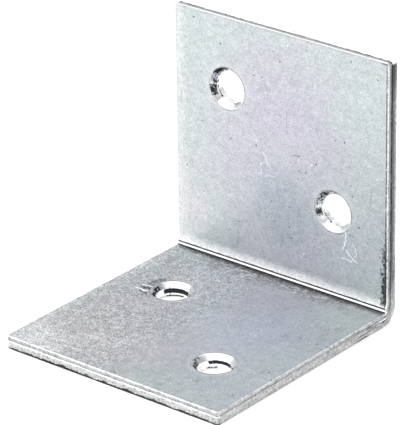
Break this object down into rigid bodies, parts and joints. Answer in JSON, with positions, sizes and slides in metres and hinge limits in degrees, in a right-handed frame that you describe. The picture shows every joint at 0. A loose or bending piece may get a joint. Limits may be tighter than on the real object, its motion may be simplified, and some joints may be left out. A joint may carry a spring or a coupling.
{
  "type": "corner brace bracket",
  "caption": "Right-angle corner brace folded from one strip of zinc-plated steel, with countersunk screw holes set on a diagonal in each leg.",
  "frame": {"origin": "middle of the bottom of the bracket's box: on the base leg's outer face, halfway along the fold and halfway between the free edge and the upright's outer face", "axes": "+X along the fold, the base leg lies flat and its free edge points to -Y, the upright leg rises along +Z at the +Y end with its outer face looking to +Y"},
  "size_m": [0.038, 0.04, 0.04],
  "materials": {
    "zinc_plated_steel": "bright zinc plate with a faint blue passivation, satin, with sheared edges"
  },
  "bodies": {
    "root": {"bracket": "zinc_plated_steel"}
  },
  "joints": []
}
